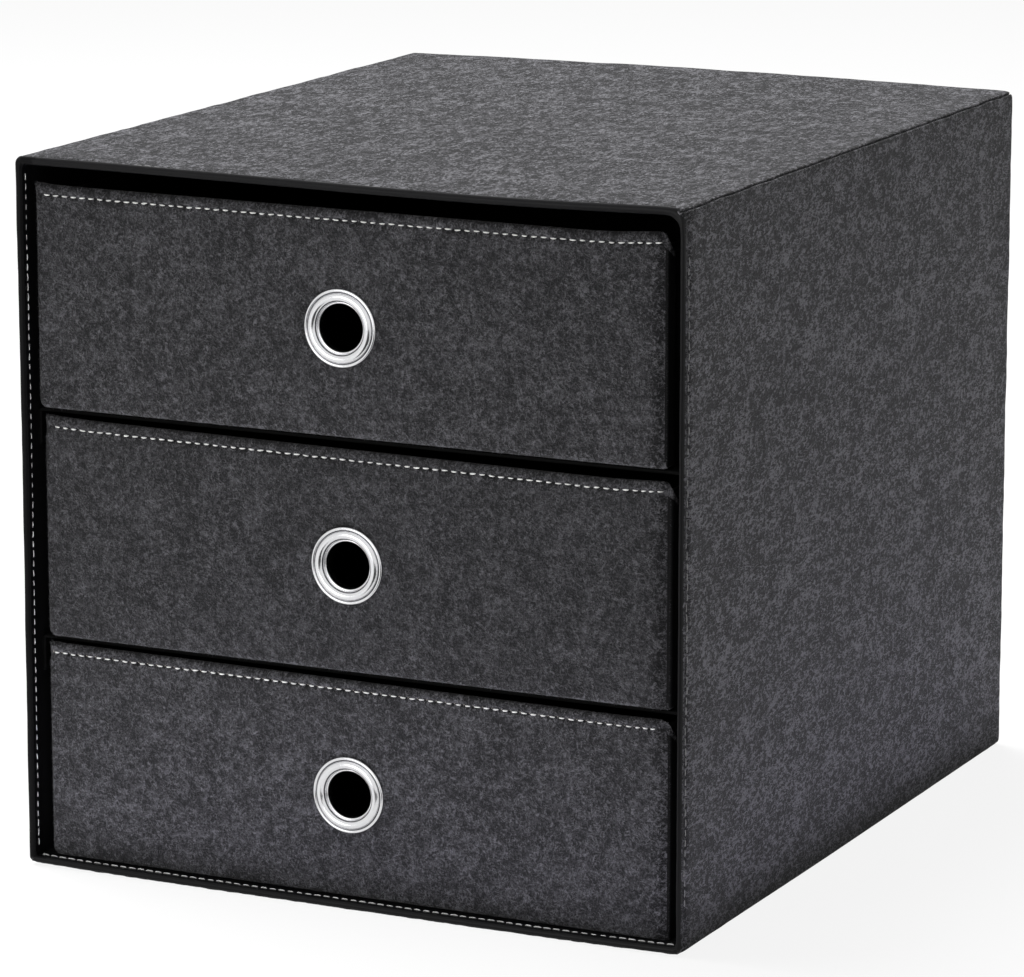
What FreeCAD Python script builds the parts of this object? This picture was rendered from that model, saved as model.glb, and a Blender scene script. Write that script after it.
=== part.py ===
import FreeCAD, Part
import os
import re

import Sketcher

# A mini chest of three drawers, made of stiff paperboard covered with felt and black cloth.
# Millimetres. +Z is up, the fronts face -Y, and the origin is under the middle of the chest.

os.makedirs("parts", exist_ok=True)
doc = FreeCAD.newDocument("mini_chest")

TOLERANCE = 1e-6
# How far a cutting block runs past what it cuts.
PAST = "1"

# Driving sizes, each set on its own.
SIZES = {
    # the whole chest
    "overall_width": 260,
    "overall_depth": 310,
    "overall_height": 260,
    # materials
    "board_thickness": 1.6,
    "felt_thickness": 1.0,
    "cloth_thickness": 0.4,
    "edge_radius": 3.0,
    "board_edge_radius": 1.5,
    # the cloth hem round the front rim, measured back from its front edge
    "hem_width": 1.4,
    "hem_radius": 0.8,
    # shelves, with flaps glued to the side walls
    "shelf_thickness": 1.2,
    "shelf_setback": 8,
    "shelf_flap": 12,
    # room round the drawers
    "drawer_setback": 4,
    "drawer_side_gap": 4.6,
    "drawer_back_gap": 3,
    "drawer_lift": 0.5,
    "lower_head_gap": 0.4,
    "middle_head_gap": 2.2,
    "upper_head_gap": 8.1,
    "upper_drawer_shift": -2,
    # drawers
    "side_drop": 3,
    "felt_return": 8,
    "felt_fold": 9,
    "felt_front_radius": 2.0,
    # finger eyelets, of pressed sheet, and the washers they are rolled over
    "eyelet_radius": 13.9,
    "eyelet_groove_radius": 12.1,
    "eyelet_bore_radius": 8.5,
    "eyelet_curl_radius": 10.6,
    "eyelet_wall": 0.5,
    "eyelet_bead_height": 0.9,
    "eyelet_groove_height": 0.5,
    "eyelet_roll_height": 2.0,
    "eyelet_lip_height": 0.9,
    "eyelet_curl_height": 1.0,
    "eyelet_clearance": 0.15,
    "eyelet_offset": -0.5,
    "upper_eyelet_rise": 38.8,
    "middle_eyelet_rise": 38.5,
    "lower_eyelet_rise": 37.5,
    "washer_radius": 13.4,
    "washer_thickness": 0.6,
    # seams
    "thread_width": 0.7,
    "thread_proud": 0.25,
    "thread_bridge": 0.1,
    "seam_groove_depth": 0.4,
    "rim_seam_setback": 2.8,
    "rim_stitch_pitch": 4.0,
    "rim_stitch_length": 3.2,
    "inside_seam_margin": 1.2,
    "outside_seam_margin": 4,
    "top_seam_drop": 3.5,
    "top_stitch_pitch": 3.62,
    "top_stitch_length": 2.4,
    "top_seam_margin": 2.8,
}

# Places worked out from the sizes above.
PLACES = {
    "felt_half": "overall_width / 2",
    "board_half": "felt_half - felt_thickness",
    "lining_half": "board_half - board_thickness",
    "inner_half": "lining_half - cloth_thickness",
    "hem_half": "board_half + cloth_thickness",
    "front_y": "-overall_depth / 2",
    "back_y": "overall_depth / 2",
    "board_front_y": "front_y + cloth_thickness",
    "board_back_y": "back_y - felt_thickness",
    "lining_back_y": "board_back_y - board_thickness",
    "inner_back_y": "lining_back_y - cloth_thickness",
    "felt_front_y": "front_y + hem_width",
    "hem_low_z": "felt_thickness - cloth_thickness",
    "lining_floor_z": "felt_thickness + board_thickness",
    "floor_z": "lining_floor_z + cloth_thickness",
    "felt_top_z": "overall_height",
    "board_top_z": "felt_top_z - felt_thickness",
    "lining_top_z": "board_top_z - board_thickness",
    "inner_top_z": "lining_top_z - cloth_thickness",
    "hem_top_z": "board_top_z + cloth_thickness",
    "hem_edge_radius": "board_edge_radius + cloth_thickness",
    "seam_y": "front_y + rim_seam_setback",
    "groove_front_y": "seam_y - thread_width / 2",
    "groove_back_y": "seam_y + thread_width / 2",
    "mitre_depth": "edge_radius + felt_thickness",
    # bays and drawers
    "drawer_height": "(inner_top_z - floor_z - 2 * shelf_thickness - 3 * drawer_lift"
                     " - lower_head_gap - middle_head_gap - upper_head_gap) / 3",
    "drawer_half": "inner_half - drawer_side_gap",
    "drawer_front_y": "front_y + drawer_setback",
    "drawer_length": "inner_back_y - drawer_back_gap - drawer_front_y",
    "lower_drawer_z": "floor_z + drawer_lift",
    "lower_shelf_z": "lower_drawer_z + drawer_height + lower_head_gap",
    "middle_drawer_z": "lower_shelf_z + shelf_thickness + drawer_lift",
    "upper_shelf_z": "middle_drawer_z + drawer_height + middle_head_gap",
    "upper_drawer_z": "upper_shelf_z + shelf_thickness + drawer_lift",
    "shelf_inner_half": "inner_half - shelf_thickness",
    "shelf_front_y": "front_y + shelf_setback",
    "shelf_length": "inner_back_y - shelf_front_y",
    # in a drawer's own frame: its front face is at y = 0 and its underside at z = 0
    "tray_board_half": "drawer_half - felt_thickness",
    "tray_lining_half": "tray_board_half - board_thickness",
    "tray_inner_half": "tray_lining_half - cloth_thickness",
    "tray_cover_half": "tray_board_half + cloth_thickness",
    "tray_board_y": "felt_thickness + board_thickness",
    "tray_inner_y": "tray_board_y + cloth_thickness",
    "tray_fold_y": "tray_board_y + felt_thickness",
    "tray_board_back": "drawer_length - cloth_thickness",
    "tray_lining_back": "tray_board_back - board_thickness",
    "tray_inner_back": "tray_lining_back - cloth_thickness",
    "tray_board_top": "drawer_height - felt_thickness",
    "tray_side_top": "tray_board_top - side_drop",
    "tray_hem_top": "tray_side_top + cloth_thickness",
    "tray_fold_low": "drawer_height - felt_fold",
    "tray_cover_low": "felt_thickness - cloth_thickness",
    "tray_lining_z": "felt_thickness + board_thickness",
    "tray_inner_z": "tray_lining_z + cloth_thickness",
    "top_seam_z": "drawer_height - top_seam_drop",
    # an eyelet's own frame: y = 0 is the face of the felt, and x is the radius
    "eyelet_barrel_radius": "eyelet_bore_radius + eyelet_wall",
    "finger_hole_radius": "eyelet_barrel_radius + eyelet_clearance",
    "eyelet_bead_radius": "(eyelet_radius + eyelet_groove_radius) / 2",
    "eyelet_roll_radius": "(eyelet_groove_radius + eyelet_bore_radius) / 2",
    "eyelet_curl_middle": "(eyelet_bore_radius + eyelet_curl_radius) / 2",
    "eyelet_back_y": "tray_inner_y + washer_thickness",
    "eyelet_curl_y": "eyelet_back_y + eyelet_curl_height",
}

sheet = doc.addObject("Spreadsheet::Sheet", "Sizes")
for row, (alias, value) in enumerate({**SIZES, **PLACES}.items(), start=1):
    sheet.set(f"A{row}", alias)
    sheet.set(f"B{row}", f"={value}" if alias in PLACES else str(value))
    sheet.setAlias(f"B{row}", alias)
doc.recompute()

# The sub-parts by name, in the order they are made.
parts = {}


def size(alias):
    """The number in a cell of the sheet; a leading minus turns it round."""
    if alias.startswith("-"):
        return -size(alias[1:])
    return float(sheet.get(alias))


def bound(text):
    """An expression for a property, with each size read from the sheet."""
    names = {**SIZES, **PLACES}
    return re.sub(r"[a-z_]+", lambda word: "Sizes." + word[0] if word[0] in names else word[0], text)


def place(piece, x="0", y="0", z="0"):
    """Binds where a piece stands."""
    for axis, text in zip("xyz", (x, y, z)):
        piece.setExpression(f"Placement.Base.{axis}", bound(text))
    return piece


def keep(name, piece):
    """Names a finished sub-part, which is then written to its own file."""
    piece.Label = name
    parts[name] = piece
    return piece


def both(half):
    """Limits that lie the same distance either side of the middle."""
    return (f"-({half})", half)


def box(name, x, y, z, at=("0", "0", "0")):
    """A box between a low and a high limit along each axis, in a frame whose origin is at."""
    piece = doc.addObject("Part::Box", name)
    for side, (low, high) in zip(("Length", "Width", "Height"), (x, y, z)):
        piece.setExpression(side, bound(f"({high}) - ({low})"))
    corner = [f"({start}) + ({limits[0]})" for start, limits in zip(at, (x, y, z))]
    return place(piece, *corner)


def cylinder(name, radius, x, y, z):
    """A cylinder along Y from the front face back, centred on x and z."""
    piece = doc.addObject("Part::Cylinder", name)
    piece.setExpression("Radius", bound(radius))
    piece.setExpression("Height", bound(f"({y[1]}) - ({y[0]})"))
    piece.Placement = FreeCAD.Placement(FreeCAD.Vector(), FreeCAD.Rotation(FreeCAD.Vector(1, 0, 0), -90))
    return place(piece, x, y[0], z)


def boolean(kind, name, base, tool):
    """A Part::Cut or Part::Common of two pieces."""
    piece = doc.addObject(kind, name)
    piece.Base = base
    piece.Tool = tool
    return piece


def cut(name, base, tool):
    return boolean("Part::Cut", name, base, tool)


def fuse(name, pieces):
    piece = doc.addObject("Part::MultiFuse", name)
    piece.Shapes = pieces
    piece.Refine = True
    return piece


def rounded(name, base, radius, chosen):
    """A copy of base whose chosen edges are rounded to the named radius."""
    doc.recompute()
    piece = doc.addObject("Part::Fillet", name)
    piece.Base = base
    edges = enumerate(base.Shape.Edges, start=1)
    piece.Edges = [(number, size(radius), size(radius)) for number, edge in edges if chosen(edge)]
    return piece


def along(edge, axis):
    """Whether an edge runs straight along an axis: 0 is X, 1 is Y and 2 is Z."""
    start, end = [vertex.Point for vertex in edge.Vertexes]
    return all(abs(start[i] - end[i]) < TOLERANCE for i in range(3) if i != axis)


def within(edge, axis, place_name):
    """Whether all of an edge lies at one place along an axis."""
    return all(abs(vertex.Point[axis] - size(place_name)) < TOLERANCE for vertex in edge.Vertexes)


def origin_plane(body, role):
    return next(item for item in body.Origin.OriginFeatures if item.Role == role)


def outline(body, name, role, corners, bulges=()):
    """A closed sketch on a plane of the body's own, through corners named by their sizes.

    A bulge names the point that the edge after a corner bends through.
    """
    sketch = body.newObject("Sketcher::SketchObject", name)
    sketch.AttachmentSupport = [(origin_plane(body, role), "")]
    sketch.MapMode = "FlatFace"
    bulges = dict(bulges)

    def point(pair):
        return FreeCAD.Vector(*[0 if text == "0" else size(text) for text in pair], 0)

    def bind(geometry, end, pair):
        """Ties a point to its two sizes, or to an axis where a size is none."""
        for kind, axis, text, value in zip(("DistanceX", "DistanceY"), (-2, -1), pair, point(pair)):
            if text == "0":
                sketch.addConstraint(Sketcher.Constraint("PointOnObject", geometry, end, axis))
            else:
                number = sketch.addConstraint(Sketcher.Constraint(kind, -1, 1, geometry, end, value))
                sketch.setExpression(f"Constraints[{number}]", bound(text))

    ends = []
    for number, corner in enumerate(corners):
        start = point(corner)
        finish = point(corners[(number + 1) % len(corners)])
        if number in bulges:
            sketch.addGeometry(Part.Arc(start, point(bulges[number]), finish), False)
        else:
            sketch.addGeometry(Part.LineSegment(start, finish), False)
        forward = sketch.getPoint(number, 1).distanceToPoint(start) < TOLERANCE
        ends.append((1, 2) if forward else (2, 1))
    for number in range(len(corners)):
        following = (number + 1) % len(corners)
        join = (number, ends[number][1], following, ends[following][0])
        sketch.addConstraint(Sketcher.Constraint("Coincident", *join))
    for number, corner in enumerate(corners):
        bind(number, ends[number][0], corner)
    for number, pair in bulges.items():
        bend = sketch.addGeometry(Part.Point(point(pair)), True)
        bind(bend, 1, pair)
        sketch.addConstraint(Sketcher.Constraint("PointOnObject", bend, 1, number))
    return sketch


def turned(name, corners, bulges=()):
    """A body turned about Y from an outline whose x is the radius."""
    body = doc.addObject("PartDesign::Body", name)
    sketch = outline(body, f"{name}_outline", "XY_Plane", corners, bulges)
    ring = body.newObject("PartDesign::Revolution", f"{name}_turned")
    ring.Profile = sketch
    ring.ReferenceAxis = (sketch, ["V_Axis"])
    ring.Angle = 360
    return body


# Cabinet

def cabinet_boards():
    """Five boards: the sides run full height, and the back covers the ends of the others."""
    depth = ("board_front_y", "lining_back_y")
    inside = both("lining_half")
    keep("bottom_board", box("bottom_board", inside, depth, ("felt_thickness", "lining_floor_z")))
    keep("top_board", box("top_board", inside, depth, ("lining_top_z", "board_top_z")))
    height = ("felt_thickness", "board_top_z")
    for side, width in (("left", ("-board_half", "-lining_half")), ("right", ("lining_half", "board_half"))):
        block = box(f"{side}_board_block", width, depth, height)
        outer = f"{'-' if side == 'left' else ''}board_half"
        keep(f"{side}_board", rounded(
            f"{side}_board", block, "board_edge_radius",
            lambda edge: along(edge, 1) and within(edge, 0, outer)))
    block = box("back_board_block", both("board_half"), ("lining_back_y", "board_back_y"), height)
    keep("back_board", rounded(
        "back_board", block, "board_edge_radius",
        lambda edge: along(edge, 1) or within(edge, 1, "board_back_y")))


def felt_shell():
    """The felt skin as one shell, open to the front, with a groove for the rim's outer seam."""
    outside = rounded(
        "felt_outside",
        box("felt_block", both("felt_half"), ("felt_front_y", "back_y"), ("0", "felt_top_z")),
        "edge_radius", lambda edge: along(edge, 1) or within(edge, 1, "back_y"))
    inside = rounded(
        "felt_inside",
        box("felt_core", both("board_half"), ("front_y", "board_back_y"), ("felt_thickness", "board_top_z")),
        "board_edge_radius", lambda edge: along(edge, 1) or within(edge, 1, "board_back_y"))
    band = box("groove_band", both(f"felt_half + {PAST}"), ("groove_front_y", "groove_back_y"),
               (f"-{PAST}", f"felt_top_z + {PAST}"))
    kept = rounded(
        "groove_core",
        box("groove_block", both("felt_half - seam_groove_depth"), ("front_y", "back_y"),
            ("seam_groove_depth", "felt_top_z - seam_groove_depth")),
        "edge_radius", lambda edge: along(edge, 1))
    groove = cut("seam_groove", band, kept)
    return cut("felt_shell", cut("felt_skin", outside, inside), groove)


def mitre(name, turn, reach, span, low, high, narrow_low):
    """A block over one side of the skin, whose ends slope in at 45 degrees to the next sides.

    In its own frame the wide face is at -reach along Y and spans X; low and high are along Z.
    """
    piece = doc.addObject("Part::Wedge", name)
    limits = {
        "Ymin": f"-({reach})", "Ymax": f"mitre_depth - ({reach})",
        "Xmin": f"-({span})", "Xmax": span,
        "X2min": f"mitre_depth - ({span})", "X2max": f"{span} - mitre_depth",
        "Zmin": low, "Zmax": high,
        "Z2min": narrow_low, "Z2max": f"{high} - mitre_depth",
    }
    for limit, text in limits.items():
        piece.setExpression(limit, bound(text))
    piece.Placement = FreeCAD.Placement(FreeCAD.Vector(), turn)
    return place(piece, z="felt_top_z / 2")


def felt_panels():
    """The skin cut at 45 degrees along its edges into the panels that meet there in seams."""
    shell = felt_shell()
    lying = FreeCAD.Rotation(FreeCAD.Vector(1, 0, 0), -90)
    sides = {
        "top": (0, "felt_top_z / 2", "felt_half"),
        "right": (90, "felt_half", "felt_top_z / 2"),
        "bottom": (180, "felt_top_z / 2", "felt_half"),
        "left": (270, "felt_half", "felt_top_z / 2"),
    }
    for side, (angle, reach, span) in sides.items():
        turn = FreeCAD.Rotation(FreeCAD.Vector(0, 1, 0), angle).multiply(lying)
        block = mitre(f"{side}_mitre", turn, reach, span, "front_y", "back_y", "front_y")
        keep(f"{side}_felt", boolean("Part::Common", f"{side}_felt", shell, block))
    turn = FreeCAD.Rotation(FreeCAD.Vector(0, 0, 1), 180)
    block = mitre("back_mitre", turn, "back_y", "felt_half", "-felt_top_z / 2", "felt_top_z / 2",
                  "mitre_depth - felt_top_z / 2")
    keep("back_felt", boolean("Part::Common", "back_felt", shell, block))


def cabinet_lining():
    """One black lining, which comes out round the front edge of the boards as a hem."""
    hem = rounded(
        "hem_outside",
        box("hem_block", both("hem_half"), ("front_y", "felt_front_y"), ("hem_low_z", "hem_top_z")),
        "hem_edge_radius", lambda edge: along(edge, 1))
    boards = rounded(
        "hem_inside",
        box("hem_core", both("board_half"), ("board_front_y", "felt_front_y"),
            ("felt_thickness", "board_top_z")),
        "board_edge_radius", lambda edge: along(edge, 1))
    sock = box("sock_block", both("lining_half"), ("board_front_y", "lining_back_y"),
               ("lining_floor_z", "lining_top_z"))
    hollow = box("sock_hollow", both("inner_half"), (f"front_y - {PAST}", "inner_back_y"),
                 ("floor_z", "inner_top_z"))
    cloth = cut("lining_cloth", fuse("lining_blocks", [cut("hem_cap", hem, boards), sock]), hollow)
    keep("cabinet_lining", rounded(
        "cabinet_lining", cloth, "hem_radius", lambda edge: within(edge, 1, "front_y")))


def shelves():
    """Folded boards that carry the upper drawers, with a flap glued down each side wall."""
    corners = [
        ("-inner_half", "-shelf_flap"), ("-shelf_inner_half", "-shelf_flap"),
        ("-shelf_inner_half", "0"), ("shelf_inner_half", "0"),
        ("shelf_inner_half", "-shelf_flap"), ("inner_half", "-shelf_flap"),
        ("inner_half", "shelf_thickness"), ("-inner_half", "shelf_thickness"),
    ]
    for level in ("lower", "upper"):
        body = doc.addObject("PartDesign::Body", f"{level}_shelf")
        sketch = outline(body, f"{level}_shelf_outline", "XZ_Plane", corners)
        pad = body.newObject("PartDesign::Pad", f"{level}_shelf_length")
        pad.Profile = sketch
        pad.Reversed = True
        pad.setExpression("Length", bound("shelf_length"))
        keep(f"{level}_shelf", place(body, y="shelf_front_y", z=f"{level}_shelf_z"))


# Seams

def stitch_run(length, pitch, stitch, proud):
    """One straight run of thread along X, with a bump at each stitch and a thin bridge between."""
    count = int(length / pitch)
    bridge = size("thread_bridge")
    start = -count * pitch / 2
    profile = [(start, 0), (start, bridge)]
    for number in range(count):
        left = start + number * pitch + (pitch - stitch) / 2
        right = left + stitch
        profile += [(left, bridge), (left, proud), (right, proud), (right, bridge)]
    profile += [(-start, bridge), (-start, 0), (start, 0)]
    width = size("thread_width")
    face = Part.Face(Part.makePolygon([FreeCAD.Vector(x, -width / 2, z) for x, z in profile]))
    return face.extrude(FreeCAD.Vector(0, width, 0))


def rim_thread(name, half_width, half_height, outward, proud, margin):
    """Four runs of the seam round the rim, on the inner faces or, outward, in the felt's groove."""
    axis = FreeCAD.Vector(0, 1, 0)
    runs = []
    for angle in (0, 90, 180, 270):
        lying = angle in (0, 180)
        reach = half_height if lying else half_width
        span = half_width if lying else half_height
        length = 2 * (span - size(margin))
        run = stitch_run(length, size("rim_stitch_pitch"), size("rim_stitch_length"), proud)
        if not outward:
            run.rotate(FreeCAD.Vector(), axis, 180)
        run.translate(FreeCAD.Vector(0, 0, reach))
        run.rotate(FreeCAD.Vector(), axis, angle)
        runs.append(run)
    piece = doc.addObject("Part::Feature", name)
    piece.Shape = Part.makeCompound(runs)
    keep(name, place(piece, y="seam_y", z="felt_top_z / 2"))


def rim_threads():
    half_height = size("felt_top_z") / 2
    groove = size("seam_groove_depth")
    rim_thread("rim_thread_inside", size("inner_half"), half_height - size("floor_z"),
               False, size("thread_proud"), "inside_seam_margin")
    rim_thread("rim_thread_outside", size("felt_half") - groove, half_height - groove,
               True, groove, "outside_seam_margin")


# Drawers, each made in its own frame and then placed in its bay

def finger_hole(name, level):
    """What is cut out of a drawer's front to let the eyelet's barrel through."""
    return cylinder(name, "finger_hole_radius", "eyelet_offset", (f"-{PAST}", "tray_fold_y"),
                    f"{level}_eyelet_rise")


def drawer_boards(level, at):
    front = box(f"{level}_front_block", both("tray_board_half"), ("felt_thickness", "tray_board_y"),
                ("felt_thickness", "tray_board_top"))
    hole = finger_hole(f"{level}_front_hole", level)
    keep(f"{level}_front_board", place(cut(f"{level}_front_board", front, hole), *at))
    depth = ("tray_board_y", "tray_lining_back")
    height = ("felt_thickness", "tray_side_top")
    keep(f"{level}_bottom_board", box(
        f"{level}_bottom_board", both("tray_lining_half"), depth, ("felt_thickness", "tray_lining_z"), at))
    keep(f"{level}_left_board", box(
        f"{level}_left_board", ("-tray_board_half", "-tray_lining_half"), depth, height, at))
    keep(f"{level}_right_board", box(
        f"{level}_right_board", ("tray_lining_half", "tray_board_half"), depth, height, at))
    keep(f"{level}_back_board", box(
        f"{level}_back_board", both("tray_board_half"), ("tray_lining_back", "tray_board_back"), height, at))


def drawer_felt(level, at):
    """The felt front: over the face, round both sides and the bottom, and folded over the top."""
    wide = both("drawer_half")
    tall = ("0", "drawer_height")
    back = ("0", "felt_return")
    blocks = [
        box(f"{level}_felt_face", wide, ("0", "felt_thickness"), tall),
        box(f"{level}_felt_left", ("-drawer_half", "-tray_board_half"), back, tall),
        box(f"{level}_felt_right", ("tray_board_half", "drawer_half"), back, tall),
        box(f"{level}_felt_bottom", wide, back, ("0", "felt_thickness")),
        box(f"{level}_felt_top", wide, ("0", "tray_board_y"), ("tray_board_top", "drawer_height")),
        box(f"{level}_felt_fold", both("tray_inner_half"), ("tray_board_y", "tray_fold_y"),
            ("tray_fold_low", "drawer_height")),
    ]
    soft = rounded(
        f"{level}_felt_soft", fuse(f"{level}_felt_blocks", blocks), "felt_front_radius", on_front_face)
    hole = finger_hole(f"{level}_felt_hole", level)
    keep(f"{level}_felt_front", place(cut(f"{level}_felt_front", soft, hole), *at))


def on_front_face(edge):
    """Whether an edge bounds the front face of a drawer's felt."""
    return all(abs(vertex.Point.y) < TOLERANCE for vertex in edge.Vertexes)


def drawer_cloth(level, at):
    """The black cover round the outside of the tray and the black lining inside it."""
    cover = cut(
        f"{level}_cover",
        box(f"{level}_cover_block", both("tray_cover_half"), ("felt_return", "drawer_length"),
            ("tray_cover_low", "tray_hem_top")),
        box(f"{level}_cover_hollow", both("tray_board_half"), ("0", "tray_board_back"),
            ("felt_thickness", f"tray_hem_top + {PAST}")))
    keep(f"{level}_cover", place(cover, *at))
    sock = box(f"{level}_sock_block", both("tray_lining_half"), ("tray_board_y", "tray_lining_back"),
               ("tray_lining_z", "tray_hem_top"))
    hem = box(f"{level}_hem_block", both("tray_board_half"), ("tray_board_y", "tray_board_back"),
              ("tray_side_top", "tray_hem_top"))
    hollow = box(f"{level}_sock_hollow", both("tray_inner_half"), ("tray_inner_y", "tray_inner_back"),
                 ("tray_inner_z", f"tray_hem_top + {PAST}"))
    mouth = box(f"{level}_fold_room", both("tray_inner_half"), ("0", "tray_inner_back"),
                ("tray_fold_low", f"tray_hem_top + {PAST}"))
    hole = finger_hole(f"{level}_lining_hole", level)
    cloth = fuse(f"{level}_lining_blocks", [sock, hem])
    room = fuse(f"{level}_lining_room", [hollow, mouth, hole])
    keep(f"{level}_lining", place(cut(f"{level}_lining", cloth, room), *at))


def drawer_eyelet(level, at):
    """The rolled finger eyelet and the washer that it is closed over inside the drawer."""
    centre = (f"{at[0]} + eyelet_offset", at[1], f"{at[2]} + {level}_eyelet_rise")
    corners = [
        ("eyelet_radius", "0"),
        ("eyelet_groove_radius", "-eyelet_groove_height"),
        ("eyelet_bore_radius", "-eyelet_lip_height"),
        ("eyelet_bore_radius", "eyelet_back_y"),
        ("eyelet_curl_radius", "eyelet_back_y"),
        ("eyelet_barrel_radius", "eyelet_back_y"),
        ("eyelet_barrel_radius", "0"),
    ]
    bulges = {
        0: ("eyelet_bead_radius", "-eyelet_bead_height"),
        1: ("eyelet_roll_radius", "-eyelet_roll_height"),
        3: ("eyelet_curl_middle", "eyelet_curl_y"),
    }
    keep(f"{level}_eyelet", place(turned(f"{level}_eyelet", corners, bulges), *centre))
    corners = [
        ("finger_hole_radius", "tray_inner_y"), ("washer_radius", "tray_inner_y"),
        ("washer_radius", "eyelet_back_y"), ("finger_hole_radius", "eyelet_back_y"),
    ]
    keep(f"{level}_washer", place(turned(f"{level}_washer", corners), *centre))


def drawer_thread(level, at):
    """The thread of the seam along the top of the front."""
    piece = doc.addObject("Part::Feature", f"{level}_top_thread")
    length = 2 * (size("drawer_half") - size("top_seam_margin"))
    run = stitch_run(length, size("top_stitch_pitch"), size("top_stitch_length"), size("thread_proud"))
    run.rotate(FreeCAD.Vector(), FreeCAD.Vector(1, 0, 0), 90)
    piece.Shape = run
    keep(f"{level}_top_thread", place(piece, at[0], at[1], f"{at[2]} + top_seam_z"))


def drawer(level, shift):
    at = (shift, "drawer_front_y", f"{level}_drawer_z")
    drawer_boards(level, at)
    drawer_felt(level, at)
    drawer_cloth(level, at)
    drawer_eyelet(level, at)
    drawer_thread(level, at)


cabinet_boards()
felt_panels()
cabinet_lining()
shelves()
rim_threads()
drawer("upper", "upper_drawer_shift")
drawer("middle", "0")
drawer("lower", "0")
doc.recompute()

for item in doc.Objects:
    if "Invalid" in item.State or "Error" in item.State:
        raise RuntimeError(f"{item.Name} failed: {item.State}")
for name, piece in parts.items():
    if piece.Shape.isNull() or not piece.Shape.isValid():
        raise RuntimeError(f"{name} has no valid shape")
    piece.Shape.exportStep(f"parts/{name}.step")
    print(name, "solids", len(piece.Shape.Solids), "volume", round(piece.Shape.Volume, 1))
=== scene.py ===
import math

import bpy
import numpy as np
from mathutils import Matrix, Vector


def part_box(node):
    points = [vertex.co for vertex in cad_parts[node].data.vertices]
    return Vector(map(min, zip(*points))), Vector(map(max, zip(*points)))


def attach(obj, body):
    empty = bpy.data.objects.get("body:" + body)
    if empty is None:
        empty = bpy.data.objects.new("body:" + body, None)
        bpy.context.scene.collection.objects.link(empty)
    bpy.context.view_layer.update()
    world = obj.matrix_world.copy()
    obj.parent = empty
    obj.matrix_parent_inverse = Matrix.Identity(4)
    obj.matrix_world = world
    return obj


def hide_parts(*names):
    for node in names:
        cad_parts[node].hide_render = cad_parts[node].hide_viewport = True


# A mini chest of drawers in charcoal felt and black cloth. Meshes are made in millimetres,
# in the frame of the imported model: the fronts face -Y and the chest stands on z = 0.

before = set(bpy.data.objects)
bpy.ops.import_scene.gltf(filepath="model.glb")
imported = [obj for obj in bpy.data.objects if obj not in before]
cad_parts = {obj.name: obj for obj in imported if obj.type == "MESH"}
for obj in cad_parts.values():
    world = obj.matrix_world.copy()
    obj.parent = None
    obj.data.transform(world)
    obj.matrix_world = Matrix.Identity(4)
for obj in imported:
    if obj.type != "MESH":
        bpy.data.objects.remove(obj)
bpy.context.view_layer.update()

MM = 0.001
LEVELS = ("upper", "middle", "lower")
FELT_NODES = [f"{side}_felt" for side in ("top", "right", "bottom", "left", "back")]


def limits(*names):
    """The lowest and the highest corner of one or more nodes, in millimetres."""
    corners = [np.array(corner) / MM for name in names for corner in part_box(name)]
    return np.min(corners, axis=0), np.max(corners, axis=0)


# Sizes of the cabinet, read from its nodes.
felt_low, felt_high = limits(*FELT_NODES)
lining_low, lining_high = limits("cabinet_lining")
seam_low, seam_high = limits("rim_thread_inside")
HALF = felt_high[0]
TOP = felt_high[2]
BACK = felt_high[1]
FRONT = lining_low[1]
FELT_FRONT = felt_low[1]
INNER_HALF = seam_high[0]
FLOOR = seam_low[2]
CEILING = seam_high[2]
INNER_BACK = limits("lower_shelf")[1][1]
SEAM_Y = (seam_low[1] + seam_high[1]) / 2
HEM_INSET = HALF - lining_high[0]
WALL = HALF - INNER_HALF

# Thicknesses, and the step from stitch to stitch.
FELT = 1.0
CLOTH = 0.4
SHELF = 1.2
STITCH_PITCH = 3.6


# Surfaces as arrays: points in millimetres, and faces of four corners, or three with the last repeated.

def spaced(*stops):
    """Places from the first stop to the last; each stop but the last is (place, step from there on)."""
    ends = [stop[0] for stop in stops[:-1]] + [stops[-1]]
    pieces = []
    for (start, step), end in zip(stops[:-1], ends[1:]):
        count = max(1, round((end - start) / step))
        pieces.append(np.linspace(start, end, count, endpoint=False))
    return np.concatenate(pieces + [[stops[-1]]])


def merged(*stretches):
    """Stretches of places as one rising row, each place once."""
    return np.unique(np.round(np.concatenate(stretches), 4))


def quarter(radius, count=7):
    """A quarter of a circle, from (0, radius) to (radius, 0), that meets both axes flat."""
    angle = np.linspace(0, math.pi / 2, count)
    return list(zip(radius * (1 - np.cos(angle)), radius * (1 - np.sin(angle))))


def grid_faces(rows, columns, wrap=False):
    """Faces of a grid of points kept row by row; wrap also joins the last column to the first."""
    row = np.arange(rows - 1)[:, None]
    column = np.arange(columns if wrap else columns - 1)[None]
    following = (column + 1) % columns
    corners = (row * columns + column, row * columns + following,
               (row + 1) * columns + following, (row + 1) * columns + column)
    return np.stack(np.broadcast_arrays(*corners), -1).reshape(-1, 4)


def grouped(*surfaces):
    """Several surfaces in one mesh."""
    points = np.concatenate([surface[0] for surface in surfaces])
    starts = np.cumsum([0] + [len(surface[0]) for surface in surfaces[:-1]])
    return points, np.concatenate([surface[1] + start for surface, start in zip(surfaces, starts)])


def welded(points, faces):
    """The surface with points that coincide made one."""
    keys = np.round(points * 1000).astype(np.int64)
    _, first, index = np.unique(keys, axis=0, return_index=True, return_inverse=True)
    return points[first], index.reshape(-1)[faces]


def compact(points, faces):
    """The surface without the points that no face uses."""
    used, index = np.unique(faces, return_inverse=True)
    return points[used], index.reshape(faces.shape)


def middles(points, faces):
    return points[faces].mean(axis=1)


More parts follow.
